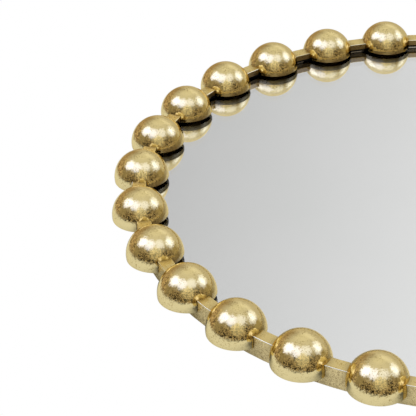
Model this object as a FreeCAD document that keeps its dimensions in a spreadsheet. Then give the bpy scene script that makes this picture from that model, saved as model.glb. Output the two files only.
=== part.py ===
"""Arched wall mirror: beaded metal frame, silvered glass, back board, turn buttons and keyhole hangers."""
import FreeCAD, Part
import math
import os
import Sketcher

# Driving dimensions in millimetres; angles in degrees; counts are plain numbers
SIZES = [
    # Beads: hollow half balls threaded on the rail
    ("bead_radius", 20.0),
    ("bead_wall", 1.5),
    ("bead_rim_drop", 2.8),
    ("slot_gap", 0.25),
    # Path of the bead centres: a half circle on two straight legs
    ("path_radius", 234.2),
    ("leg_length", 478.0),
    ("arch_gaps", 33),
    ("sill_gaps", 9),
    # Rail: rectangular bar with a rebate for the pane, front face measured from the bead centres
    ("rail_width", 10.0),
    ("rail_front", 6.0),
    ("rail_edge_round", 0.6),
    ("lip_depth", 4.6),
    ("rebate_width", 4.0),
    # Pane stack held in the rebate
    ("pane_gap", 0.5),
    ("tape_depth", 1.8),
    ("tape_setback", 0.6),
    ("glass_depth", 5.0),
    ("board_depth", 3.6),
    # Turn buttons on the back of the rail
    ("button_depth", 1.2),
    ("button_width", 6.0),
    ("button_reach", 18.0),
    ("button_play", 0.05),
    ("button_bore_gap", 0.1),
    ("arch_button_angle", 45.0),
    ("leg_button_drop", 290.0),
    ("sill_button_spread", 110.0),
    # Pan head screws
    ("screw_radius", 1.5),
    ("screw_length", 6.3),
    ("thread_gap", 0.05),
    ("tap_spare", 0.7),
    ("head_radius", 2.8),
    ("head_depth", 1.8),
    ("driver_slot_width", 0.7),
    ("driver_slot_depth", 0.8),
    # Keyhole hangers
    ("hanger_sheet", 1.5),
    ("hanger_headroom", 4.0),
    ("hanger_height", 50.0),
    ("hanger_reach", 24.0),
    ("hanger_top_drop", 15.0),
    ("hanger_screw_inset", 8.0),
    ("hanger_bore_gap", 0.15),
    ("keyhole_inset", 11.0),
    ("keyhole_rise", 17.0),
    ("keyhole_radius", 4.5),
    ("keyhole_slot_radius", 2.5),
    ("keyhole_slot_length", 12.0),
    # Rubber pads that keep the lower edge off the wall
    ("pad_radius", 6.0),
    ("pad_bevel", 1.0),
    ("pad_inset", 30.0),
    # One overrun for every cutting shape
    ("overrun", 2.0),
]

HEAD_SIDE_SHARE = 0.45
HEAD_CROWN_SHARE = 0.72

doc = FreeCAD.newDocument("arched_wall_mirror")
sheet = doc.addObject("Spreadsheet::Sheet", "Sizes")
for row, (alias, size) in enumerate(SIZES, start=1):
    sheet.set(f"A{row}", alias)
    sheet.set(f"B{row}", str(size))
    sheet.setAlias(f"B{row}", alias)
doc.recompute()

# Heights along the front normal, from the plane of the bead centres
LIP_BACK = "(Sizes.rail_front - Sizes.lip_depth)"
GLASS_FRONT = f"({LIP_BACK} - Sizes.tape_depth)"
GLASS_BACK = f"({GLASS_FRONT} - Sizes.glass_depth)"
RAIL_BACK = f"({GLASS_BACK} - Sizes.board_depth)"
STAND_OFF = "(Sizes.hanger_headroom + Sizes.hanger_sheet)"
WALL_PLANE = f"({RAIL_BACK} - {STAND_OFF})"
BUTTON_FRONT = f"({RAIL_BACK} - Sizes.button_play)"
BUTTON_SEAT = f"({BUTTON_FRONT} - Sizes.button_depth - Sizes.button_play)"
HANGER_SEAT = f"({RAIL_BACK} - Sizes.hanger_sheet)"

# Offsets from the bead path, positive outwards
OUTER_EDGE = "(Sizes.rail_width / 2)"
INNER_EDGE = "(-Sizes.rail_width / 2)"
REBATE_EDGE = f"({INNER_EDGE} + Sizes.rebate_width)"
PANE_EDGE = f"({REBATE_EDGE} - Sizes.pane_gap)"
TAPE_EDGE = f"({INNER_EDGE} + Sizes.tape_setback)"
SCREW_LINE = "(Sizes.rebate_width / 2)"
SCREW_RADIUS = f"(Sizes.path_radius + {SCREW_LINE})"

# Heights on the frame, from the line where the arch springs from the legs
HANGER_TOP = "(-Sizes.hanger_top_drop)"
HANGER_FOOT = f"({HANGER_TOP} - Sizes.hanger_height)"
KEYHOLE_LEVEL = f"({HANGER_FOOT} + Sizes.keyhole_rise)"
UPPER_HANGER_SCREW = f"({HANGER_TOP} - Sizes.hanger_screw_inset)"
LOWER_HANGER_SCREW = f"({HANGER_FOOT} + Sizes.hanger_screw_inset)"
KEYHOLE_SIDE = f"(Sizes.path_radius + {INNER_EDGE} - Sizes.keyhole_inset)"

nodes = []


def number(expression):
    """Present value of an expression on the sheet."""
    return float(sheet.evalExpression(expression))


def keep(label, feature):
    """List a finished sub-part, under the name of its file."""
    feature.Label = label
    nodes.append((label, feature))


def hang(feature, side="0", front="0", up="0"):
    """Place a feature in the part's frame: wall plane at y = 0, keyhole level at z = 0, front towards -Y."""
    feature.setExpression("Placement.Base.x", side)
    feature.setExpression("Placement.Base.y", f"{WALL_PLANE} - ({front})")
    feature.setExpression("Placement.Base.z", f"({up}) - {KEYHOLE_LEVEL}")


def new_body(name):
    return doc.addObject("PartDesign::Body", name)


def origin_feature(body, role):
    return next(item for item in body.Origin.OriginFeatures if item.Role == role)


def new_sketch(body, name, plane, lift="0"):
    """Sketch on one of the body's own planes, lifted along that plane's normal."""
    sketch = body.newObject("Sketcher::SketchObject", name)
    sketch.AttachmentSupport = [(origin_feature(body, plane), "")]
    sketch.MapMode = "FlatFace"
    sketch.setExpression("AttachmentOffset.Base.z", lift)
    return sketch


def pin_point(sketch, geometry, position, across, along):
    """Hold a sketch point at two expressions measured from the sketch's origin."""
    for kind, axis, expression in (("DistanceX", -2, across), ("DistanceY", -1, along)):
        if expression == "0":
            sketch.addConstraint(Sketcher.Constraint("PointOnObject", geometry, position, axis))
            continue
        rule = Sketcher.Constraint(kind, -1, 1, geometry, position, number(expression))
        sketch.setExpression(f"Constraints[{sketch.addConstraint(rule)}]", expression)


def pin_radius(sketch, geometry, radius):
    rule = sketch.addConstraint(Sketcher.Constraint("Radius", geometry, number(radius)))
    sketch.setExpression(f"Constraints[{rule}]", radius)


def add_polygon(sketch, points):
    """Closed loop of straight edges through pairs of expressions."""
    corners = [FreeCAD.Vector(number(across), number(along), 0) for across, along in points]
    first = sketch.GeometryCount
    last = len(points) - 1
    for index, corner in enumerate(corners):
        following = corners[(index + 1) % len(corners)]
        sketch.addGeometry(Part.LineSegment(corner, following), False)
    for index, (across, along) in enumerate(points):
        following = first if index == last else first + index + 1
        sketch.addConstraint(Sketcher.Constraint("Coincident", first + index, 2, following, 1))
        pin_point(sketch, first + index, 1, across, along)


def add_circle(sketch, across, along, radius):
    centre = FreeCAD.Vector(number(across), number(along), 0)
    upright = FreeCAD.Vector(0, 0, 1)
    circle = sketch.addGeometry(Part.Circle(centre, upright, number(radius)), False)
    pin_point(sketch, circle, 3, across, along)
    pin_radius(sketch, circle, radius)


def add_arc(sketch, across, along, radius, start, end):
    """Arc about a pinned centre, between two angles in quarter turns."""
    centre = FreeCAD.Vector(number(across), number(along), 0)
    upright = FreeCAD.Vector(0, 0, 1)
    circle = Part.Circle(centre, upright, number(radius))
    quarter = math.pi / 2
    arc = sketch.addGeometry(Part.ArcOfCircle(circle, start * quarter, end * quarter), False)
    pin_point(sketch, arc, 3, across, along)
    return arc


def join_line(sketch, first, first_end, second, second_end, rule):
    """Straight edge from the end of one piece of geometry to the end of another."""
    begin = sketch.getPoint(first, first_end)
    finish = sketch.getPoint(second, second_end)
    line = sketch.addGeometry(Part.LineSegment(begin, finish), False)
    sketch.addConstraint(Sketcher.Constraint(rule, first, first_end, line, 1))
    sketch.addConstraint(Sketcher.Constraint(rule, line, 2, second, second_end))
    return line


def add_obround(sketch, across, top, bottom, radius):
    """Upright slot outline between two arc centres."""
    crown = add_arc(sketch, across, top, radius, 0, 2)
    base = add_arc(sketch, across, bottom, radius, 2, 4)
    join_line(sketch, crown, 2, base, 1, "Tangent")
    join_line(sketch, base, 2, crown, 1, "Tangent")
    pin_radius(sketch, crown, radius)
    sketch.addConstraint(Sketcher.Constraint("Equal", crown, base))


def add_arch(sketch, edge):
    """Arch outline at an offset from the bead path: half circle, two legs and a level foot."""
    radius = f"Sizes.path_radius + {edge}"
    foot = f"-(Sizes.leg_length + {edge})"
    crown = add_arc(sketch, "0", "0", radius, 0, 2)
    pin_radius(sketch, crown, radius)
    for end in (1, 2):
        sketch.addConstraint(Sketcher.Constraint("PointOnObject", crown, end, -1))
    half = number(radius)
    low = number(foot)
    corners = [(-half, 0), (-half, low), (half, low), (half, 0)]
    points = [FreeCAD.Vector(across, along, 0) for across, along in corners]
    lines = [
        sketch.addGeometry(Part.LineSegment(begin, finish), False)
        for begin, finish in zip(points, points[1:])
    ]
    left, sill, right = lines
    sketch.addConstraint(Sketcher.Constraint("Coincident", crown, 2, left, 1))
    sketch.addConstraint(Sketcher.Constraint("Coincident", left, 2, sill, 1))
    sketch.addConstraint(Sketcher.Constraint("Coincident", sill, 2, right, 1))
    sketch.addConstraint(Sketcher.Constraint("Coincident", right, 2, crown, 1))
    sketch.addConstraint(Sketcher.Constraint("Vertical", left))
    sketch.addConstraint(Sketcher.Constraint("Vertical", right))
    sketch.addConstraint(Sketcher.Constraint("Horizontal", sill))
    level = sketch.addConstraint(Sketcher.Constraint("DistanceY", -1, 1, sill, 1, low))
    sketch.setExpression(f"Constraints[{level}]", foot)


def pad(body, name, sketch, length, reverse=False, both_ways=False):
    feature = body.newObject("PartDesign::Pad", name)
    feature.Profile = sketch
    feature.setExpression("Length", length)
    feature.Reversed = reverse
    feature.Midplane = both_ways
    return feature


def pocket(body, name, sketch, depth, reverse=False, both_ways=False):
    feature = body.newObject("PartDesign::Pocket", name)
    feature.Profile = sketch
    feature.setExpression("Length", depth)
    feature.Reversed = reverse
    feature.Midplane = both_ways
    return feature


def revolve(body, name, sketch, angle=360, both_ways=False):
    """Solid of revolution about the body's front to back axis."""
    feature = body.newObject("PartDesign::Revolution", name)
    feature.Profile = sketch
    feature.ReferenceAxis = (origin_feature(body, "Y_Axis"), [""])
    feature.Angle = angle
    feature.Midplane = both_ways
    return feature


def round_front_edges(body, feature, along_edge):
    """Soften the long edges of a rail's front face, leaving the mitres sharp."""
    doc.recompute()
    front = -number("Sizes.rail_front")
    slack = number("Sizes.rail_edge_round") / 10
    names = []
    for index, edge in enumerate(feature.Shape.Edges, start=1):
        box = edge.BoundBox
        on_front = abs(box.YMin - front) < slack and abs(box.YMax - front) < slack
        if on_front and along_edge(edge):
            names.append(f"Edge{index}")
    fillet = body.newObject("PartDesign::Fillet", f"{body.Name}_front_round")
    fillet.Base = (feature, names)
    fillet.setExpression("Radius", "Sizes.rail_edge_round")


def rail_section(place):
    """Rebated bar section as sketch points; place turns (offset, -front) into sketch coordinates."""
    corners = [
        (OUTER_EDGE, "Sizes.rail_front"),
        (INNER_EDGE, "Sizes.rail_front"),
        (INNER_EDGE, LIP_BACK),
        (REBATE_EDGE, LIP_BACK),
        (REBATE_EDGE, RAIL_BACK),
        (OUTER_EDGE, RAIL_BACK),
    ]
    return [place(offset, f"-{front}") for offset, front in corners]


def arch_plate(name, back, front, edges):
    """Flat piece with the arch outline between two heights; each edge after the first is an opening."""
    body = new_body(name)
    sketch = new_sketch(body, f"{name}_outline", "XZ_Plane", back)
    for edge in edges:
        add_arch(sketch, edge)
    pad(body, f"{name}_pad", sketch, f"{front} - {back}")
    return body


def tapped_holes(body, name, places):
    """Blind screw holes in a rail, from its back."""
    sketch = new_sketch(body, name, "XZ_Plane", RAIL_BACK)
    for side, up in places:
        add_circle(sketch, side, up, "Sizes.screw_radius + Sizes.thread_gap")
    return pocket(body, f"{name}_cut", sketch, "Sizes.screw_length + Sizes.tap_spare", reverse=True)


# Screw places as side and height expressions, and the turn of each button about the front to back axis
ARCH_SIDE = f"{SCREW_RADIUS} * sin(Sizes.arch_button_angle * 1 deg)"
ARCH_UP = f"{SCREW_RADIUS} * cos(Sizes.arch_button_angle * 1 deg)"
SILL_UP = f"-(Sizes.leg_length + {SCREW_LINE})"
BUTTONS = [
    (f"-{ARCH_SIDE}", ARCH_UP, "-Sizes.arch_button_angle"),
    (ARCH_SIDE, ARCH_UP, "Sizes.arch_button_angle"),
    (f"-{SCREW_RADIUS}", "-Sizes.leg_button_drop", "-90"),
    (SCREW_RADIUS, "-Sizes.leg_button_drop", "90"),
    ("-Sizes.sill_button_spread", SILL_UP, "180"),
    ("Sizes.sill_button_spread", SILL_UP, "180"),
]
HANGER_SCREWS = [
    (side, up)
    for side in (f"-{SCREW_RADIUS}", SCREW_RADIUS)
    for up in (UPPER_HANGER_SCREW, LOWER_HANGER_SCREW)
]


def mitre(side, up_end):
    """Triangle that trims a rail end to the 45 degree mitre; up_end keeps the leg or the sill."""
    inner = f"{side}(Sizes.path_radius + {INNER_EDGE} - Sizes.overrun)"
    outer = f"{side}(Sizes.path_radius + {OUTER_EDGE} + Sizes.overrun)"
    high = f"-(Sizes.leg_length + {INNER_EDGE} - Sizes.overrun)"
    low = f"-(Sizes.leg_length + {OUTER_EDGE} + Sizes.overrun)"
    corner = (inner, low) if up_end else (outer, high)
    return [(inner, high), (outer, low), corner]


def build_arch_rail():
    """One bar bent to the arch with its two legs, mitred at the foot."""
    body = new_body("arch_rail_body")
    crown = new_sketch(body, "crown_section", "YZ_Plane")
    add_polygon(crown, rail_section(lambda offset, back: (back, f"Sizes.path_radius + {offset}")))
    revolve(body, "crown_bend", crown, 180, both_ways=True)
    for side, label in (("-", "left"), ("", "right")):
        leg = new_sketch(body, f"{label}_leg_section", "XY_Plane")
        add_polygon(leg, rail_section(lambda offset, back: (f"{side}(Sizes.path_radius + {offset})", back)))
        pad(body, f"{label}_leg", leg, f"Sizes.leg_length + {OUTER_EDGE}", reverse=True)
    ends = new_sketch(body, "leg_mitres", "XZ_Plane")
    add_polygon(ends, mitre("-", True))
    add_polygon(ends, mitre("", True))
    pocket(body, "leg_mitre_cut", ends, f"2 * (Sizes.rail_front - {RAIL_BACK})", both_ways=True)
    holes = tapped_holes(body, "arch_rail_taps", [place[:2] for place in BUTTONS[:4]] + HANGER_SCREWS)
    round_front_edges(body, holes, lambda edge: edge.BoundBox.ZMax > -number("Sizes.leg_length / 2"))
    hang(body)
    keep("arch_rail", body)


def build_bottom_rail():
    """Straight bar along the foot, mitred at both ends."""
    body = new_body("bottom_rail_body")
    section = new_sketch(body, "sill_section", "YZ_Plane")
    add_polygon(section, rail_section(lambda offset, back: (back, f"-(Sizes.leg_length + {offset})")))
    pad(body, "sill", section, f"2 * (Sizes.path_radius + {OUTER_EDGE})", both_ways=True)
    ends = new_sketch(body, "sill_mitres", "XZ_Plane")
    add_polygon(ends, mitre("-", False))
    add_polygon(ends, mitre("", False))
    pocket(body, "sill_mitre_cut", ends, f"2 * (Sizes.rail_front - {RAIL_BACK})", both_ways=True)
    holes = tapped_holes(body, "bottom_rail_taps", [place[:2] for place in BUTTONS[4:]])
    round_front_edges(body, holes, lambda edge: edge.BoundBox.XLength > number("Sizes.path_radius"))
    hang(body)
    keep("bottom_rail", body)


def build_pane():
    """Foam tape, silvered glass and back board, stacked in the rebate."""
    pieces = [
        ("glass_tape", GLASS_FRONT, LIP_BACK, [PANE_EDGE, TAPE_EDGE]),
        ("mirror_glass", GLASS_BACK, GLASS_FRONT, [PANE_EDGE]),
        ("back_board", RAIL_BACK, GLASS_BACK, [PANE_EDGE]),
    ]
    for label, back, front, edges in pieces:
        body = arch_plate(f"{label}_body", back, front, edges)
        hang(body)
        keep(label, body)


def bead_blank():
    """Hollow half ball before it is slotted, axis to the front."""
    body = new_body("bead_blank")
    sketch = new_sketch(body, "bead_section", "XY_Plane")
    outside = add_arc(sketch, "0", "0", "Sizes.bead_radius", -1, 0.1)
    inside = add_arc(sketch, "0", "0", "Sizes.bead_radius - Sizes.bead_wall", -1, 0.1)
    pin_radius(sketch, outside, "Sizes.bead_radius")
    pin_radius(sketch, inside, "Sizes.bead_radius - Sizes.bead_wall")
    for arc in (outside, inside):
        sketch.addConstraint(Sketcher.Constraint("PointOnObject", arc, 1, -2))
    join_line(sketch, inside, 1, outside, 1, "Coincident")
    rim = join_line(sketch, outside, 2, inside, 2, "Coincident")
    sketch.addConstraint(Sketcher.Constraint("Horizontal", rim))
    drop = number("Sizes.bead_rim_drop")
    level = sketch.addConstraint(Sketcher.Constraint("DistanceY", -1, 1, rim, 1, drop))
    sketch.setExpression(f"Constraints[{level}]", "Sizes.bead_rim_drop")
    revolve(body, "bead_turn", sketch)
    return body


def slot_tool():
    """What is trimmed from every bead: the rail with its clearance, and the room in front of the glass."""
    deep = f"({WALL_PLANE} - Sizes.bead_radius)"
    around = arch_plate("slot_around", deep, "Sizes.rail_front", [f"({OUTER_EDGE} + Sizes.slot_gap)"])
    over_glass = f"({INNER_EDGE} - Sizes.slot_gap)"
    within = arch_plate("slot_within", LIP_BACK, "(Sizes.rail_front + Sizes.overrun)", [over_glass])
    tool = doc.addObject("Part::Cut", "slot_tool")
    tool.Base = around
    tool.Tool = within
    return tool


def bead_places():
    """Bead centres: over the arch from corner to corner at one pitch, then along the sill."""
    quarter = "(pi * Sizes.path_radius / 2)"
    pitch = f"((2 * {quarter} + 2 * Sizes.leg_length) / Sizes.arch_gaps)"
    places = []
    for index in range(int(sheet.arch_gaps) + 1):
        run = f"({pitch} * ({index} - Sizes.arch_gaps / 2))"
        distance = number(run)
        if abs(distance) < number(quarter):
            turn = f"({run} / Sizes.path_radius * 1 rad)"
            places.append((f"Sizes.path_radius * sin({turn})", f"Sizes.path_radius * cos({turn})"))
        else:
            sign = "-" if distance < 0 else ""
            places.append((f"{sign}Sizes.path_radius", f"{quarter} - abs({run})"))
    for index in range(1, int(sheet.sill_gaps)):
        side = f"Sizes.path_radius * (1 - 2 * {index} / Sizes.sill_gaps)"
        places.append((side, "-Sizes.leg_length"))
    return places


def build_beads():
    """Each bead is the blank set on the path, slotted over the rail and trimmed clear of the glass."""
    blank = bead_blank()
    tool = slot_tool()
    for index, (side, up) in enumerate(bead_places(), start=1):
        seat = doc.addObject("App::Link", f"bead_seat_{index:02d}")
        seat.LinkedObject = blank
        seat.setExpression("LinkPlacement.Base.x", side)
        seat.setExpression("LinkPlacement.Base.z", up)
        bead = doc.addObject("Part::Cut", f"bead_cut_{index:02d}")
        bead.Base = seat
        bead.Tool = tool
        hang(bead)
        keep(f"bead_{index:02d}", bead)


def build_turn_buttons():
    """Flat swivelling catches that reach from the rail over the back board."""
    for index, (side, up, turn) in enumerate(BUTTONS, start=1):
        body = new_body(f"turn_button_body_{index}")
        sketch = new_sketch(body, f"button_outline_{index}", "XZ_Plane")
        add_obround(sketch, "0", "0", "-Sizes.button_reach", "Sizes.button_width / 2")
        add_circle(sketch, "0", "0", "Sizes.screw_radius + Sizes.button_bore_gap")
        pad(body, f"button_pad_{index}", sketch, "Sizes.button_depth", reverse=True)
        facing = FreeCAD.Rotation(FreeCAD.Vector(0, 1, 0), number(turn))
        body.Placement = FreeCAD.Placement(FreeCAD.Vector(), facing)
        hang(body, side, BUTTON_FRONT, up)
        keep(f"turn_button_{index}", body)


def screw_blank():
    """Pan head screw with a driver slot, seated at y = 0 with its shank to the front."""
    body = new_body("screw_blank")
    section = new_sketch(body, "screw_section", "XY_Plane")
    crown = f"Sizes.head_radius * {HEAD_CROWN_SHARE}"
    side = f"Sizes.head_depth * {HEAD_SIDE_SHARE}"
    profile = [
        ("0", "-Sizes.screw_length"),
        ("Sizes.screw_radius", "-Sizes.screw_length"),
        ("Sizes.screw_radius", "0"),
        ("Sizes.head_radius", "0"),
        ("Sizes.head_radius", side),
        (crown, "Sizes.head_depth"),
        ("0", "Sizes.head_depth"),
    ]
    add_polygon(section, profile)
    revolve(body, "screw_turn", section)
    slot = new_sketch(body, "driver_slot", "XZ_Plane", "-Sizes.head_depth")
    half = "Sizes.driver_slot_width / 2"
    length = "Sizes.head_radius + Sizes.overrun"
    ends = [(f"-({length})", f"-{half}"), (length, f"-{half}"), (length, half), (f"-({length})", half)]
    add_polygon(slot, ends)
    pocket(body, "driver_slot_cut", slot, "Sizes.driver_slot_depth", reverse=True)
    return body


def group(label, blank, places, front):
    """Copies of one small piece at side and height places, kept as one node."""
    copies = []
    for index, (side, up) in enumerate(places, start=1):
        copy = doc.addObject("App::Link", f"{label}_{index}")
        copy.LinkedObject = blank
        copy.setExpression("LinkPlacement.Base.x", side)
        copy.setExpression("LinkPlacement.Base.z", up)
        copies.append(copy)
    compound = doc.addObject("Part::Compound", f"{label}_group")
    compound.Links = copies
    hang(compound, front=front)
    keep(label, compound)


def build_screws():
    blank = screw_blank()
    group("button_screws", blank, [place[:2] for place in BUTTONS], BUTTON_SEAT)
    group("hanger_screws", blank, HANGER_SCREWS, HANGER_SEAT)


def build_hangers():
    """Joggled keyhole brackets screwed to the back of the legs."""
    body = new_body("hanger_right_body")
    section = new_sketch(body, "hanger_section", "XY_Plane", HANGER_TOP)
    step = f"({REBATE_EDGE} - Sizes.hanger_sheet)"
    far = f"({INNER_EDGE} - Sizes.hanger_reach)"
    face = f"({WALL_PLANE} + Sizes.hanger_sheet)"
    corners = [
        (OUTER_EDGE, RAIL_BACK),
        (step, RAIL_BACK),
        (step, face),
        (far, face),
        (far, WALL_PLANE),
        (REBATE_EDGE, WALL_PLANE),
        (REBATE_EDGE, HANGER_SEAT),
        (OUTER_EDGE, HANGER_SEAT),
    ]
    add_polygon(section, [(f"Sizes.path_radius + {offset}", f"-{front}") for offset, front in corners])
    pad(body, "hanger_pad", section, "Sizes.hanger_height", reverse=True)
    through = f"2 * ({STAND_OFF} + Sizes.overrun)"
    entry = new_sketch(body, "keyhole_entry", "XZ_Plane", WALL_PLANE)
    add_circle(entry, KEYHOLE_SIDE, KEYHOLE_LEVEL, "Sizes.keyhole_radius")
    pocket(body, "keyhole_entry_cut", entry, through, both_ways=True)
    slot = new_sketch(body, "keyhole_slot", "XZ_Plane", WALL_PLANE)
    slot_top = f"{KEYHOLE_LEVEL} + Sizes.keyhole_slot_length"
    add_obround(slot, KEYHOLE_SIDE, slot_top, KEYHOLE_LEVEL, "Sizes.keyhole_slot_radius")
    pocket(body, "keyhole_slot_cut", slot, through, both_ways=True)
    holes = new_sketch(body, "hanger_holes", "XZ_Plane", WALL_PLANE)
    for up in (UPPER_HANGER_SCREW, LOWER_HANGER_SCREW):
        add_circle(holes, SCREW_RADIUS, up, "Sizes.screw_radius + Sizes.hanger_bore_gap")
    pocket(body, "hanger_hole_cut", holes, through, both_ways=True)
    hang(body)
    keep("hanger_plate_right", body)
    twin = doc.addObject("Part::Mirroring", "hanger_left_mirror")
    twin.Source = body
    twin.Normal = FreeCAD.Vector(1, 0, 0)
    keep("hanger_plate_left", twin)


def build_wall_pads():
    """Bevelled rubber pads on the board's lower corners, as thick as the hangers stand off."""
    body = new_body("pad_blank")
    section = new_sketch(body, "pad_section", "XY_Plane")
    side = f"{STAND_OFF} - Sizes.pad_bevel"
    profile = [
        ("0", "0"),
        ("Sizes.pad_radius", "0"),
        ("Sizes.pad_radius", side),
        ("Sizes.pad_radius - Sizes.pad_bevel", STAND_OFF),
        ("0", STAND_OFF),
    ]
    add_polygon(section, profile)
    revolve(body, "pad_turn", section)
    side = f"(Sizes.path_radius + {INNER_EDGE} - Sizes.pad_inset)"
    up = f"-(Sizes.leg_length + {INNER_EDGE} - Sizes.pad_inset)"
    group("wall_pads", body, [(f"-{side}", up), (side, up)], RAIL_BACK)


def write_parts():
    """Refuse a failed feature or a bad shape, then write every sub-part."""
    doc.recompute()
    for feature in doc.Objects:
        failed = {"Invalid", "Error"} & set(feature.State)
        if failed:
            raise RuntimeError(f"{feature.Label} failed: {feature.State}")
    for label, feature in nodes:
        shape = feature.Shape
        if shape.isNull() or not shape.isValid() or not shape.Solids:
            raise RuntimeError(f"{label} has no valid solid")
    os.makedirs("parts", exist_ok=True)
    for label, feature in nodes:
        feature.Shape.exportStep(f"parts/{label}.step")
        print(label, len(feature.Shape.Solids), round(feature.Shape.Volume, 1))


build_arch_rail()
build_bottom_rail()
build_pane()
build_beads()
build_turn_buttons()
build_screws()
build_hangers()
build_wall_pads()
write_parts()
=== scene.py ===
"""Blender scene of the arched wall mirror: materials, floor, soft studio light and camera."""
import math

import bpy
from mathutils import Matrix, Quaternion, Vector


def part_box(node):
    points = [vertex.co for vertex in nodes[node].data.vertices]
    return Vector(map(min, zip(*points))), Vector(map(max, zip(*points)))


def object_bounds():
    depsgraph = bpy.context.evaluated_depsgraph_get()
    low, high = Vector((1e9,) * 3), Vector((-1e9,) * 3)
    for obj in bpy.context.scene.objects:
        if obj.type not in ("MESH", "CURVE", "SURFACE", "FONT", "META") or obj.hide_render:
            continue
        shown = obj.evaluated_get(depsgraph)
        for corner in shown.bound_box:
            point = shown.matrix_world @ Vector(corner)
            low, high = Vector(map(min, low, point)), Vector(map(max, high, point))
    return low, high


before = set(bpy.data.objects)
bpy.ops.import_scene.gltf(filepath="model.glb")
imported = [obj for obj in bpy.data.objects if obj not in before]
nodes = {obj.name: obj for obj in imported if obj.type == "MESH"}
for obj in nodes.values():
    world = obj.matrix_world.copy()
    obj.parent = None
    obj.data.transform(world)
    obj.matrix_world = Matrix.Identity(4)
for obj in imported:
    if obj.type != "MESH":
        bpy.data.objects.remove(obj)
cad_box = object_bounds()

# Camera, in metres in the part's own frame: the glass faces -Y and the arch is at the top.
CAMERA_PLACE = (-1.0386, -0.6612, 0.2439)
CAMERA_TARGET = (-0.0187, -0.0145, 0.2331)
CAMERA_ROLL = math.radians(-90.5)
CAMERA_LENS = 147.7
SENSOR_WIDTH = 36.0

# Floor under the lowest bead
FLOOR_SIZE = 3.0
FLOOR_COLOUR = (0.86, 0.86, 0.85)

# Light of the studio where no lamp stands: dim and warm, cluttered on the near side and above, pale behind
DIM_LIGHT = (0.24, 0.195, 0.125)
CLUTTER_TOWARDS = (-0.90, 0.44, 0.0)
CLUTTER_ABOVE = (0.55, 0.00, 0.83)
CLUTTER_SIZE = 0.08
CLUTTER_RANGE = (0.45, 0.55)
CLUTTER_DARK = 0.06
CLUTTER_PALE = 1.95
CLUTTER_START = 0.00
CLUTTER_FULL = 0.30
CLUTTER_ABOVE_START = 0.75
CLUTTER_ABOVE_FULL = 0.95
BEHIND_LIGHT = (0.78, 0.82, 0.88)
BEHIND_TOWARDS = (-0.05, 0.99, 0.08)
BEHIND_START = 0.12
BEHIND_FULL = 0.32
BEHIND_RAGGED = 0.10
RAGGED_RANGE = (0.3, 0.7)

# Soft lights, as direction from the mirror, half angle of the core, half angle of the edge, light
SOFT_LIGHTS = {
    "upper_softbox": ((0.06, -0.72, 0.69), 5, 23, (0.98, 1.22, 2.60)),
    "upper_softbox_side": ((-0.34, -0.87, 0.34), 5, 26, (0.58, 0.76, 1.85)),
    "front_panel": ((-0.33, -0.90, -0.28), 5, 24, (0.36, 0.47, 0.98)),
    "lower_softbox": ((0.25, -0.58, -0.77), 4, 21, (0.50, 0.64, 1.20)),
    "lower_softbox_side": ((0.03, -0.61, -0.79), 4, 21, (0.50, 0.64, 1.20)),
    "far_wall": ((0.84, -0.18, -0.51), 26, 47, (0.35, 0.38, 0.42)),
    "far_screen": ((0.75, 0.14, 0.65), 16, 54, (0.18, 0.13, 0.09)),
    "upper_screen": ((0.40, -0.51, 0.76), 7, 20, (0.12, 0.10, 0.05)),
    "upper_side_screen": ((-0.05, -0.30, 0.95), 8, 26, (0.06, 0.06, 0.04)),
    "lower_screen": ((0.15, -0.30, -0.94), 8, 30, (0.13, 0.12, 0.06)),
    "ceiling": ((0.09, -1.00, 0.00), 10, 72, (0.47, 0.52, 0.58)),
    "far_ceiling": ((0.55, -0.83, -0.05), 5, 25, (0.07, 0.07, 0.04)),
    "near_panel": ((-0.83, -0.55, -0.05), 8, 33, (0.30, 0.30, 0.25)),
}

# What the pane shows: a dim room with a pale far side, paler the lower it is
PANE_DIM_LIGHT = (0.19, 0.15, 0.10)
PANE_FAR_SIDE = ((0.60, -0.80, 0.00), 38, 70)
PANE_PALER_TOWARDS = (0.0, -0.386, -0.922)
PANE_RANGE = (0.080, 0.354)
PANE_TONES = (0.40, 0.80)
PANE_LIGHTS = {
    "near_panel": ((-0.81, -0.58, -0.05), 8, 30, (0.20, 0.20, 0.18)),
}

# Black flags, as direction from the mirror, half angles as above, share of the light that is kept
BLACK_FLAGS = {
    "upper_flag": ((-0.70, -0.10, 0.70), 8, 32, 0.88),
    "lower_flag": ((-0.60, -0.25, -0.76), 8, 30, 0.92),
}

# Pale wall that only the metal sees, a band round the frame: it glows in place of a lit wall, with painted
# shade near the frame
WALL_REACH = 0.07
WALL_OVERLAP = 0.003
WALL_SHADE_REACH = 0.04
WALL_SHADE_RANGE = (0.2, 0.9)
WALL_LEVELS = (0.1, 1.0)
WALL_SHADE_SAMPLES = 8
ARCH_STEPS = 48

# Where the silver lies: the back face of the pane, held a hair off the board
SILVER_FACING = 0.9
SILVER_GAP = 0.00005

# Gold leaf, with each gold as plain and speck, each finish as smoothest and roughest spot, crinkle depth,
# flake tilt and lacquer
FLAKE_SIZE = 0.0009
BEAD_GOLD = ((0.88, 0.71, 0.335), (0.52, 0.38, 0.14))
RAIL_GOLD = ((0.835, 0.655, 0.280), (0.54, 0.38, 0.12))
# Painted highlight: the rails' rounded edges take this paler, brighter gold
RAIL_EDGE_HIGHLIGHT_GOLD = ((1.00, 0.90, 0.56), (0.94, 0.80, 0.42))
RAIL_SIDE_GOLD = ((0.88, 0.70, 0.34), (0.62, 0.45, 0.20))
# Painted shade: the rails' inner sides and backs take this darker gold
RAIL_INSIDE_SHADED_GOLD = ((0.50, 0.36, 0.15), (0.34, 0.23, 0.08))
BEAD_FINISH = (0.04, 0.07, 0.00002, 0.05, 0.25)
RAIL_FINISH = (0.18, 0.30, 0.00004, 0.05, 0.25)
EDGE_FINISH = (0.08, 0.12, 0.00002, 0.04, 1.0)
SIDE_FINISH = (0.22, 0.34, 0.00012, 0.15, 0.0)
CREASE_BROWN = (0.34, 0.235, 0.11)
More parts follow.
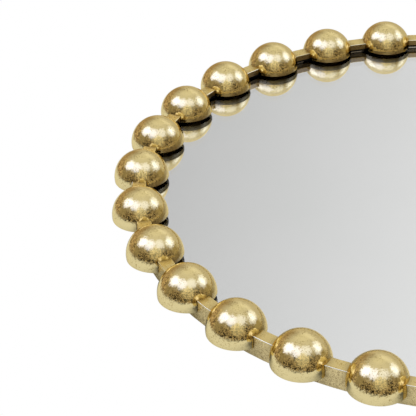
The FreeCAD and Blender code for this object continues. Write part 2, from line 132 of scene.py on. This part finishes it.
# Painted shade: the leaf is darkened to this brown in crevices, where ambient occlusion finds nearby parts
CREVICE_SHADE_BROWN = (0.34, 0.25, 0.11)
CREVICE_REACH = 0.006
CREVICE_RANGE = (0.60, 0.96)
CREVICE_SHARE = 0.90
CREVICE_SAMPLES = 6
CREASE_SHARE = 0.8
CREASE_WIDTH = 0.05
MOTTLE_SIZE = 0.007
SPECKLE_SIZE = 0.0011
CRINKLE_SIZE = 0.0040
SCRIBBLE_SIZE = 0.0024
LACQUER_ROUGHNESS = 0.12
EDGE_GOLD = (0.97, 0.87, 0.60)

# Other materials, each with the two tones that its noise mixes
SHELL_BROWNS = ((0.070, 0.046, 0.016), (0.110, 0.075, 0.028))
SILVERS = ((0.925, 0.930, 0.925), (0.945, 0.945, 0.945))
FOAM_BLACKS = ((0.004, 0.004, 0.004), (0.010, 0.010, 0.010))
FOAM_CELLS_PER_METRE = 2200.0
BOARD_BROWNS = ((0.215, 0.125, 0.065), (0.270, 0.165, 0.090))
BOARD_FLECK = (0.115, 0.062, 0.032)
ZINCS = ((0.60, 0.61, 0.62), (0.74, 0.74, 0.73))
RUBBER_GREYS = ((0.030, 0.030, 0.031), (0.052, 0.052, 0.053))
GLASS_TINT = (0.985, 0.992, 0.988)
GLASS_INDEX = 1.52
GLASS_GLOSS = 0.1

# A rail's front faces this far forward at least, and its rounded edges between the two
RAIL_FRONT_FACING = -0.97
RAIL_SIDE_FACING = -0.15
ARCH_CENTRE = 0.048

# Ball beads
BEAD_RADIUS = 0.020
BEAD_WALL = 0.0015
BEAD_RIM_FACING = 0.5


class Shader:
    """A node tree with short calls to add and link nodes."""

    def __init__(self, tree):
        self.tree = tree
        tree.nodes.clear()

    def add(self, kind, settings=None, inputs=None):
        """A new node with its settings and its inputs, each a constant or another node's output."""
        node = self.tree.nodes.new(kind)
        for name, value in (settings or {}).items():
            setattr(node, name, value)
        for name, value in (inputs or {}).items():
            if isinstance(value, bpy.types.NodeSocket):
                self.tree.links.new(value, node.inputs[name])
            else:
                node.inputs[name].default_value = value
        return node

    def math(self, operation, first, second):
        """The output of a Math node."""
        return self.add("ShaderNodeMath", {"operation": operation}, {0: first, 1: second}).outputs[0]

    def vector(self, operation, inputs, output="Vector"):
        """The output of a Vector Math node."""
        return self.add("ShaderNodeVectorMath", {"operation": operation}, inputs).outputs[output]

    def span(self, value, low, high, to_low=0.0, to_high=1.0, smooth=False):
        """A value mapped from one range to another, and kept inside it."""
        kind = "SMOOTHSTEP" if smooth else "LINEAR"
        inputs = {"Value": value, "From Min": low, "From Max": high, "To Min": to_low, "To Max": to_high}
        return self.add("ShaderNodeMapRange", {"interpolation_type": kind}, inputs).outputs[0]

    def noise(self, where, size, detail=2.0, roughness=0.5, distortion=0.0):
        """Noise whose lumps are about that size, in metres."""
        inputs = {
            "Vector": where,
            "Scale": 1.0 / size,
            "Detail": detail,
            "Roughness": roughness,
            "Distortion": distortion,
        }
        return self.add("ShaderNodeTexNoise", None, inputs).outputs["Fac"]

    def blend(self, share, first, second):
        """Two colours mixed by a share."""
        node = self.add("ShaderNodeMix", {"data_type": "RGBA"}, {"Factor": share})
        for socket, value in ((node.inputs[6], first), (node.inputs[7], second)):
            if isinstance(value, bpy.types.NodeSocket):
                self.tree.links.new(value, socket)
            else:
                socket.default_value = (*value, 1.0)
        return node.outputs[2]

    def bump(self, height, depth, normal=None):
        """A bumped normal, with the depth of the relief in metres."""
        inputs = {"Height": height, "Distance": depth, "Strength": 1.0}
        if normal is not None:
            inputs["Normal"] = normal
        return self.add("ShaderNodeBump", None, inputs).outputs[0]


def new_material(name):
    """A material, its tree and the coordinates of the part's own frame."""
    material = bpy.data.materials.new(name)
    material.use_nodes = True
    shader = Shader(material.node_tree)
    where = shader.add("ShaderNodeTexCoord").outputs["Object"]
    return material, shader, where


def finish_material(shader, inputs):
    """The Principled shader and the output."""
    surface = shader.add("ShaderNodeBsdfPrincipled", None, inputs)
    shader.add("ShaderNodeOutputMaterial", None, {"Surface": surface.outputs[0]})


def leaf_material(name, golds, finish, creased=False):
    """Lacquered gold leaf: speckled, in small tilted flakes, with painted shade in its crevices, creased on
    request.
    """
    smoothest, roughest, crinkle_depth, flake_tilt, lacquer = finish
    material, shader, where = new_material(name)
    mottle = shader.noise(where, MOTTLE_SIZE, 3.0, 0.6)
    speckle = shader.noise(where, SPECKLE_SIZE, 2.0, 0.6)
    patchy = shader.span(mottle, 0.42, 0.60)
    specks = shader.math("MULTIPLY", shader.span(speckle, 0.52, 0.66), patchy)
    colour = shader.blend(specks, *golds)
    rough = shader.span(specks, 0.0, 1.0, roughest, smoothest)
    flakes = shader.add("ShaderNodeTexVoronoi", None, {"Vector": where, "Scale": 1.0 / FLAKE_SIZE})
    lean = shader.vector("MULTIPLY_ADD", {0: flakes.outputs["Color"], 1: (2, 2, 2), 2: (-1, -1, -1)})
    squared = shader.vector("MULTIPLY", {0: lean, 1: lean})
    cubed = shader.vector("MULTIPLY", {0: squared, 1: lean})
    straight = shader.add("ShaderNodeNewGeometry").outputs["Normal"]
    tilted = shader.vector("MULTIPLY_ADD", {0: cubed, 1: (flake_tilt,) * 3, 2: straight})
    facing = shader.vector("NORMALIZE", {0: tilted})
    crinkle = shader.noise(where, CRINKLE_SIZE, 3.0, 0.6, 0.4)
    normal = shader.bump(crinkle, crinkle_depth, facing)
    if creased:
        scribble = shader.noise(where, SCRIBBLE_SIZE, 2.0, 0.5, 1.6)
        off_line = shader.math("ABSOLUTE", shader.math("SUBTRACT", scribble, 0.5), 0.0)
        crease = shader.span(off_line, 0.0, CREASE_WIDTH, CREASE_SHARE, 0.0)
        colour = shader.blend(crease, colour, CREASE_BROWN)
    # Painted shade: brown laid into the colour where ambient occlusion finds the frame close by
    settings = {"samples": CREVICE_SAMPLES}
    shade = shader.add("ShaderNodeAmbientOcclusion", settings, {"Distance": CREVICE_REACH})
    crevice_shade = shader.span(shade.outputs["AO"], *CREVICE_RANGE, CREVICE_SHARE, 0.0)
    colour = shader.blend(crevice_shade, colour, CREVICE_SHADE_BROWN)
    inputs = {
        "Base Color": colour,
        "Metallic": 1.0,
        "Roughness": rough,
        "Normal": normal,
        "Coat Weight": lacquer,
        "Coat Roughness": LACQUER_ROUGHNESS,
        "Specular Tint": (*EDGE_GOLD, 1.0),
        "Coat Normal": normal,
    }
    finish_material(shader, inputs)
    return material


def raw_shell_material():
    """The unfinished inside of the beads: brown primed resin."""
    material, shader, where = new_material("raw_shell")
    blotch = shader.noise(where, 0.004, 3.0)
    colour = shader.blend(shader.span(blotch, 0.35, 0.65), *SHELL_BROWNS)
    normal = shader.bump(shader.noise(where, 0.0012, 2.0), 0.00015)
    inputs = {"Base Color": colour, "Roughness": 0.62, "Specular IOR Level": 0.0, "Normal": normal}
    finish_material(shader, inputs)
    return material


def glass_material():
    """Clear float glass with a faint breath of dust in its gloss."""
    material, shader, where = new_material("clear_glass")
    dust = shader.noise(where, 0.05, 2.0)
    rough = shader.span(dust, 0.3, 0.7, 0.0, 0.004)
    inputs = {
        "Base Color": (*GLASS_TINT, 1.0),
        "Transmission Weight": 1.0,
        "IOR": GLASS_INDEX,
        "Specular IOR Level": GLASS_GLOSS,
        "Roughness": rough,
    }
    finish_material(shader, inputs)
    return material


def silver_material():
    """The silver on the back of the pane."""
    material, shader, where = new_material("silver")
    drift = shader.noise(where, 0.12, 1.0)
    colour = shader.blend(shader.span(drift, 0.3, 0.7), *SILVERS)
    finish_material(shader, {"Base Color": colour, "Metallic": 1.0, "Roughness": 0.0})
    return material


def foam_material():
    """Black closed-cell foam tape."""
    material, shader, where = new_material("black_foam_tape")
    foam = shader.add("ShaderNodeTexVoronoi", None, {"Vector": where, "Scale": FOAM_CELLS_PER_METRE})
    cells = foam.outputs["Distance"]
    colour = shader.blend(shader.span(cells, 0.1, 0.7), *FOAM_BLACKS)
    normal = shader.bump(cells, 0.00012)
    inputs = {"Base Color": colour, "Roughness": 0.85, "Specular IOR Level": 0.0, "Normal": normal}
    finish_material(shader, inputs)
    return material


def board_material():
    """Brown hardboard: pressed fibres and darker flecks."""
    material, shader, where = new_material("hardboard")
    stretch = shader.add("ShaderNodeMapping", None, {"Vector": where, "Scale": (1.0, 1.0, 0.35)}).outputs[0]
    fibre = shader.noise(stretch, 0.0022, 5.0, 0.7, 1.2)
    cloud = shader.noise(where, 0.05, 3.0)
    tone = shader.blend(shader.span(cloud, 0.3, 0.7), *BOARD_BROWNS)
    fleck = shader.span(fibre, 0.34, 0.62)
    colour = shader.blend(fleck, BOARD_FLECK, tone)
    normal = shader.bump(fibre, 0.00012)
    finish_material(shader, {"Base Color": colour, "Roughness": 0.68, "Normal": normal})
    return material


def plated_material():
    """Zinc-plated pressed steel."""
    material, shader, where = new_material("zinc_plate")
    spangle = shader.noise(where, 0.0045, 2.0, 0.5)
    tone = shader.blend(shader.span(spangle, 0.3, 0.7), *ZINCS)
    drawn = shader.add("ShaderNodeMapping", None, {"Vector": where, "Scale": (1.0, 1.0, 0.06)}).outputs[0]
    lines = shader.noise(drawn, 0.0006, 2.0)
    rough = shader.span(spangle, 0.3, 0.7, 0.26, 0.40)
    normal = shader.bump(lines, 0.00002)
    finish_material(shader, {"Base Color": tone, "Metallic": 1.0, "Roughness": rough, "Normal": normal})
    return material


def rubber_material():
    """Dark grey moulded rubber."""
    material, shader, where = new_material("moulded_rubber")
    cloud = shader.noise(where, 0.003, 3.0)
    colour = shader.blend(shader.span(cloud, 0.3, 0.7), *RUBBER_GREYS)
    normal = shader.bump(shader.noise(where, 0.0005, 2.0), 0.00006)
    finish_material(shader, {"Base Color": colour, "Roughness": 0.74, "Normal": normal})
    return material


def give(names, *materials):
    """Puts these materials into the slots of these nodes."""
    for name in names:
        slots = nodes[name].data.materials
        slots.clear()
        for material in materials:
            slots.append(material)


def split_bead(name):
    """The inside and the rim of a bead take its second material."""
    low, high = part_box(name)
    middle = (low + high) / 2
    middle.y = low.y + BEAD_RADIUS
    limit = BEAD_RADIUS - BEAD_WALL / 2
    mesh = nodes[name].data
    for face in mesh.polygons:
        inside = (face.center - middle).length < limit
        face.material_index = 1 if inside or face.normal.y > BEAD_RIM_FACING else 0


def split_rail(name):
    """The rounded edges of a rail take its second material, a painted highlight, its outside the third, the
    rest the fourth, a painted shade.
    """
    for face in nodes[name].data.polygons:
        if face.normal.y < RAIL_FRONT_FACING:
            face.material_index = 0
        elif face.normal.y < RAIL_SIDE_FACING:
            face.material_index = 1
        else:
            outwards = face.normal.x * face.center.x + face.normal.z * (face.center.z - ARCH_CENTRE)
            face.material_index = 2 if outwards > 0 else 3


def split_pane():
    """The back of the pane takes its second material, the silver."""
    pane = nodes["mirror_glass"]
    for face in pane.data.polygons:
        face.material_index = 1 if face.normal.y > SILVER_FACING else 0
    gap = pane.modifiers.new("gap", "DISPLACE")
    gap.mid_level = 0.0
    gap.strength = -SILVER_GAP


def dress_nodes():
    """Materials for every node."""
    beads = sorted(name for name in nodes if name.startswith("bead_"))
    buttons = sorted(name for name in nodes if name.startswith("turn_button_"))
    bead_gold = leaf_material("bead_gold_leaf", BEAD_GOLD, BEAD_FINISH)
    rail_gold = leaf_material("rail_gold_leaf", RAIL_GOLD, RAIL_FINISH)
    # Painted highlight: the rails' rounded edges get a brighter gold of their own
    rail_edge_highlight = leaf_material("rail_edge_highlight_leaf", RAIL_EDGE_HIGHLIGHT_GOLD, EDGE_FINISH)
    rail_side = leaf_material("rail_side_leaf", RAIL_SIDE_GOLD, SIDE_FINISH, creased=True)
    # Painted shade: the rails' inner sides get a darker gold of their own
    rail_inside_shaded = leaf_material("rail_inside_shaded_leaf", RAIL_INSIDE_SHADED_GOLD, RAIL_FINISH)
    give(beads, bead_gold, raw_shell_material())
    for name in beads:
        split_bead(name)
    for name in ("arch_rail", "bottom_rail"):
        give([name], rail_gold, rail_edge_highlight, rail_side, rail_inside_shaded)
        split_rail(name)
    give(["mirror_glass"], glass_material(), silver_material())
    split_pane()
    give(["glass_tape"], foam_material())
    give(["back_board"], board_material())
    steel = ["button_screws", "hanger_screws", "hanger_plate_left", "hanger_plate_right"]
    give(buttons + steel, plated_material())
    give(["wall_pads"], rubber_material())


def build_floor():
    """A plain pale floor under the lowest bead."""
    level = cad_box[0][2]
    half = FLOOR_SIZE / 2
    corners = [(-half, -half, level), (half, -half, level), (half, half, level), (-half, half, level)]
    mesh = bpy.data.meshes.new("floor")
    mesh.from_pydata(corners, [], [(0, 1, 2, 3)])
    floor = bpy.data.objects.new("floor", mesh)
    bpy.context.scene.collection.objects.link(floor)
    material, shader, _ = new_material("pale_floor")
    finish_material(shader, {"Base Color": (*FLOOR_COLOUR, 1.0), "Roughness": 0.8})
    mesh.materials.append(material)
    floor.visible_glossy = False
    floor.visible_transmission = False


def build_wall():
    """A glowing pale wall round the mirror, seen in the metal alone, with painted shade where the frame
    would shade it.
    """
    low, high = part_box("arch_rail")
    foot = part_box("bottom_rail")[0].z
    radius = (high.x - low.x) / 2 - WALL_OVERLAP
    centre = high.z - (high.x - low.x) / 2
    inner = [(-radius, foot + WALL_OVERLAP), (-radius, centre)]
    for step in range(1, ARCH_STEPS):
        turn = math.pi * (1 - step / ARCH_STEPS)
        inner.append((radius * math.cos(turn), centre + radius * math.sin(turn)))
    inner += [(radius, centre), (radius, foot + WALL_OVERLAP)]
    count = len(inner)
    depth = cad_box[1][1]
    corners = []
    for x, z in inner:
        outwards = Vector((x, 0.0, z)).normalized() * WALL_REACH
        corners.append((x, depth, z))
        corners.append((x + outwards.x, depth, z + outwards.z))
    faces = []
    for index in range(count):
        after = (index + 1) % count
        faces.append((2 * index, 2 * index + 1, 2 * after + 1, 2 * after))
    mesh = bpy.data.meshes.new("wall")
    mesh.from_pydata(corners, [], faces)
    wall = bpy.data.objects.new("wall", mesh)
    bpy.context.scene.collection.objects.link(wall)
    material, shader, _ = new_material("glowing_pale_wall")
    settings = {"samples": WALL_SHADE_SAMPLES}
    shade = shader.add("ShaderNodeAmbientOcclusion", settings, {"Distance": WALL_SHADE_REACH})
    level = shader.span(shade.outputs["AO"], *WALL_SHADE_RANGE, *WALL_LEVELS)
    # Painted light and shade: the wall glows, dimmed where ambient occlusion finds the frame close by
    inputs = {"Color": (*BEHIND_LIGHT, 1.0), "Strength": level}
    glow = shader.add("ShaderNodeEmission", None, inputs)
    shader.add("ShaderNodeOutputMaterial", None, {"Surface": glow.outputs[0]})
    mesh.materials.append(material)
    wall.visible_camera = False
    wall.visible_diffuse = False
    wall.visible_transmission = False
    wall.visible_shadow = False


def cone(shader, towards, direction, core, edge, outside, inside):
    """A value that changes softly from the edge of a cone of directions to its core, in degrees."""
    middle = tuple(Vector(direction).normalized())
    nearness = shader.vector("DOT_PRODUCT", {0: towards, 1: middle}, "Value")
    edge_nearness = math.cos(math.radians(edge))
    core_nearness = math.cos(math.radians(core))
    return shader.span(nearness, edge_nearness, core_nearness, outside, inside, smooth=True)


def add_lights(shader, towards, light, patches):
    """The light with these soft patches added."""
    for direction, core, edge, colour in patches.values():
        share = cone(shader, towards, direction, core, edge, 0.0, 1.0)
        patch = shader.vector("SCALE", {0: colour, "Scale": share})
        light = shader.vector("ADD", {0: light, 1: patch})
    return light


def build_studio():
    """A studio of soft lights for metal and glass to show, in even white light on a white background."""
    world = bpy.data.worlds.new("studio")
    bpy.context.scene.world = world
    world.use_nodes = True
    shader = Shader(world.node_tree)
    towards = shader.add("ShaderNodeTexCoord").outputs["Generated"]
    depth = shader.vector("DOT_PRODUCT", {0: towards, 1: BEHIND_TOWARDS}, "Value")
    clutter = shader.noise(towards, CLUTTER_SIZE, 3.0, 0.6)
    nearness = shader.vector("DOT_PRODUCT", {0: towards, 1: CLUTTER_TOWARDS}, "Value")
    near_side = shader.span(nearness, CLUTTER_START, CLUTTER_FULL)
    highness = shader.vector("DOT_PRODUCT", {0: towards, 1: CLUTTER_ABOVE}, "Value")
    above = shader.span(highness, CLUTTER_ABOVE_START, CLUTTER_ABOVE_FULL)
    cluttered = shader.math("MAXIMUM", near_side, above)
    dark = shader.span(cluttered, 0.0, 1.0, 1.0, CLUTTER_DARK)
    pale = shader.span(cluttered, 0.0, 1.0, 1.0, CLUTTER_PALE)
    level = shader.span(clutter, *CLUTTER_RANGE, dark, pale)
    light = shader.vector("SCALE", {0: DIM_LIGHT, "Scale": level})
    light = add_lights(shader, towards, light, SOFT_LIGHTS)
    for direction, core, edge, kept in BLACK_FLAGS.values():
        share = cone(shader, towards, direction, core, edge, 1.0, kept)
        light = shader.vector("SCALE", {0: light, "Scale": share})
    ragged = shader.span(clutter, *RAGGED_RANGE, -BEHIND_RAGGED, BEHIND_RAGGED)
    behind = shader.span(shader.math("ADD", depth, ragged), BEHIND_START, BEHIND_FULL)
    shown = shader.blend(behind, light, BEHIND_LIGHT)
    path = shader.add("ShaderNodeLightPath").outputs
    low = shader.vector("DOT_PRODUCT", {0: towards, 1: PANE_PALER_TOWARDS}, "Value")
    tone = shader.span(low, *PANE_RANGE, *PANE_TONES)
    pale = shader.vector("SCALE", {0: (1.0, 1.0, 1.0), "Scale": tone})
    far_side = cone(shader, towards, *PANE_FAR_SIDE, 0.0, 1.0)
    room = shader.blend(far_side, PANE_DIM_LIGHT, pale)
    room = add_lights(shader, towards, room, PANE_LIGHTS)
    shown = shader.blend(path["Is Transmission Ray"], shown, room)
    studio = shader.add("ShaderNodeBackground", None, {"Color": shown, "Strength": 1.0})
    white = shader.add("ShaderNodeBackground", None, {"Color": (1, 1, 1, 1), "Strength": 1.0})
    mirrored = shader.math("MAXIMUM", path["Is Glossy Ray"], path["Is Transmission Ray"])
    both = shader.add("ShaderNodeMixShader", None, {0: mirrored, 1: white.outputs[0], 2: studio.outputs[0]})
    shader.add("ShaderNodeOutputWorld", None, {"Surface": both.outputs[0]})


def build_camera():
    """The camera, on its side as the photograph was taken."""
    data = bpy.data.cameras.new("camera")
    data.lens = CAMERA_LENS
    data.sensor_width = SENSOR_WIDTH
    camera = bpy.data.objects.new("camera", data)
    camera.location = CAMERA_PLACE
    aim = (Vector(CAMERA_TARGET) - Vector(CAMERA_PLACE)).to_track_quat("-Z", "Y")
    camera.rotation_mode = "QUATERNION"
    camera.rotation_quaternion = aim @ Quaternion((0.0, 0.0, 1.0), CAMERA_ROLL)
    bpy.context.scene.collection.objects.link(camera)
    bpy.context.scene.camera = camera


dress_nodes()
build_floor()
build_wall()
build_studio()
build_camera()
bpy.context.scene.view_settings.view_transform = "Standard"
